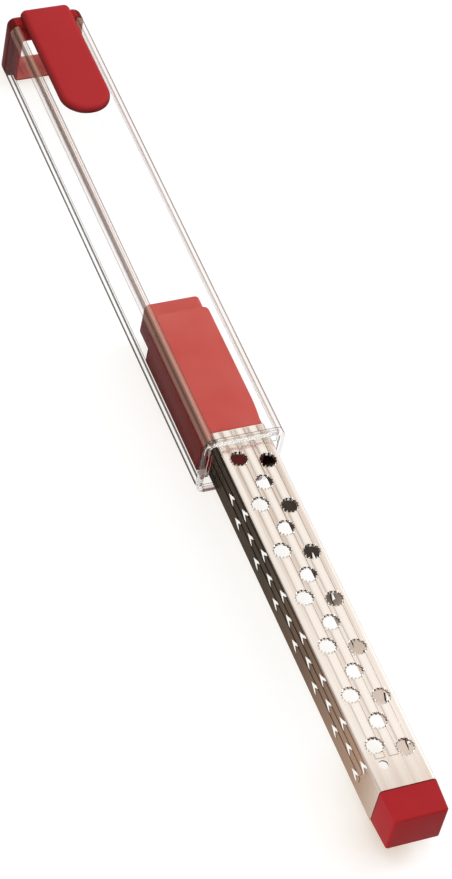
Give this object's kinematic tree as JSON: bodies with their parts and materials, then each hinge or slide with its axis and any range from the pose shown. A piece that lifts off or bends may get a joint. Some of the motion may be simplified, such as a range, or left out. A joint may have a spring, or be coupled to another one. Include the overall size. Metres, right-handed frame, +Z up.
{
  "type": "pocket grater",
  "caption": "Slim grater that slides out of a clear rectangular case, with a red sliding block, a red tip and a red end cap with a pocket clip.",
  "frame": {"origin": "centre of the bottom of the bounding box, with the grater pulled out and the case lying on its back", "axes": "+Y along the case from the tip of the grater to the clip end, +X across, +Z up out of the star face"},
  "size_m": [0.0252, 0.3156, 0.0252],
  "materials": {
    "clear_plastic": "clear moulded",
    "red_plastic": "satin moulded",
    "soft_red_plastic": "matte moulded",
    "steel": "rolled and stamped"
  },
  "bodies": {
    "case": {"clear_case": "clear_plastic", "end_cap": "red_plastic"},
    "clip": {"pocket_clip": "soft_red_plastic"},
    "grater": {"slider_block": "red_plastic", "grater_blade": "steel", "tip_cap": "red_plastic"}
  },
  "joints": [
    {"name": "grater_slide", "type": "slide", "parent": "case", "child": "grater", "axis": [0, 1, 0], "range_m": [0, 0.1221]},
    {"name": "clip_flex", "type": "hinge", "parent": "case", "child": "clip", "pos_m": [0, 0.15535, 0.0227], "axis": [-1, 0, 0], "range_deg": [0, 4], "stiffness_Nm_per_rad": 3.4}
  ]
}
